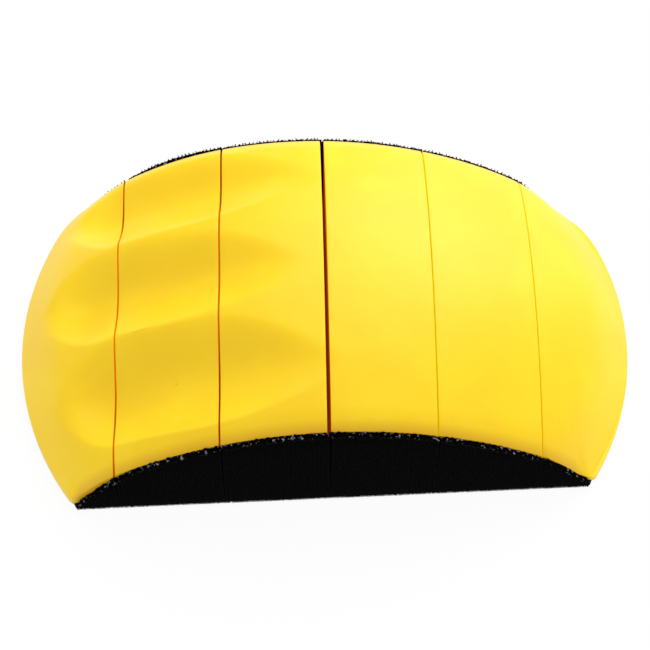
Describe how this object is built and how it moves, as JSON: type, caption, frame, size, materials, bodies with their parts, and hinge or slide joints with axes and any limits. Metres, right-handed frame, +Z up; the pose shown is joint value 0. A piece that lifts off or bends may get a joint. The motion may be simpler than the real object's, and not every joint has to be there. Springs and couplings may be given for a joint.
{
  "type": "flexible sanding block",
  "caption": "Domed foam hand sanding block with finger grooves, slit across so that it flexes, with a hook facing folded up its long walls to hold a sanding disc.",
  "frame": {"origin": "middle of the flat sole, on the plane that the block rests on", "axes": "+X along the block towards the palm end, +Y across it, +Z up from the sole to the crown"},
  "size_m": [0.15, 0.0904, 0.0423],
  "materials": {
    "foam": "satin moulded skin",
    "hook_facing": "matte woven hook tape"
  },
  "bodies": {
    "finger_1": {"foam_segment_1": "foam", "hook_pad_1": "hook_facing"},
    "finger_2": {"foam_segment_2": "foam", "hook_pad_2": "hook_facing", "flex_web_1": "foam"},
    "finger_3": {"foam_segment_3": "foam", "hook_pad_3": "hook_facing", "flex_web_2": "foam", "flex_web_3": "foam"},
    "finger_4": {"foam_segment_4": "foam", "hook_pad_4": "hook_facing", "flex_web_4": "foam"},
    "finger_5": {"foam_segment_5": "foam", "hook_pad_5": "hook_facing", "flex_web_5": "foam"},
    "finger_6": {"foam_segment_6": "foam", "hook_pad_6": "hook_facing"}
  },
  "joints": [
    {"name": "flex_3", "type": "hinge", "parent": "finger_3", "child": "finger_4", "pos_m": [0, 0, 0.0015], "axis": [0, 1, 0], "range_deg": [-1.2, 12], "stiffness_Nm_per_rad": 0.3, "deforming": ["flex_web_3"]},
    {"name": "flex_2", "type": "hinge", "parent": "finger_3", "child": "finger_2", "pos_m": [-0.025, 0, 0.0015], "axis": [0, -1, 0], "range_deg": [-0.5, 12], "stiffness_Nm_per_rad": 0.3, "deforming": ["flex_web_2"]},
    {"name": "flex_1", "type": "hinge", "parent": "finger_2", "child": "finger_1", "pos_m": [-0.05, 0, 0.0015], "axis": [0, -1, 0], "range_deg": [-0.7, 12], "stiffness_Nm_per_rad": 0.3, "deforming": ["flex_web_1"]},
    {"name": "flex_4", "type": "hinge", "parent": "finger_4", "child": "finger_5", "pos_m": [0.025, 0, 0.0015], "axis": [0, 1, 0], "range_deg": [-0.4, 12], "stiffness_Nm_per_rad": 0.3, "deforming": ["flex_web_4"]},
    {"name": "flex_5", "type": "hinge", "parent": "finger_5", "child": "finger_6", "pos_m": [0.05, 0, 0.0015], "axis": [0, 1, 0], "range_deg": [-0.5, 12], "stiffness_Nm_per_rad": 0.3, "deforming": ["flex_web_5"]}
  ]
}
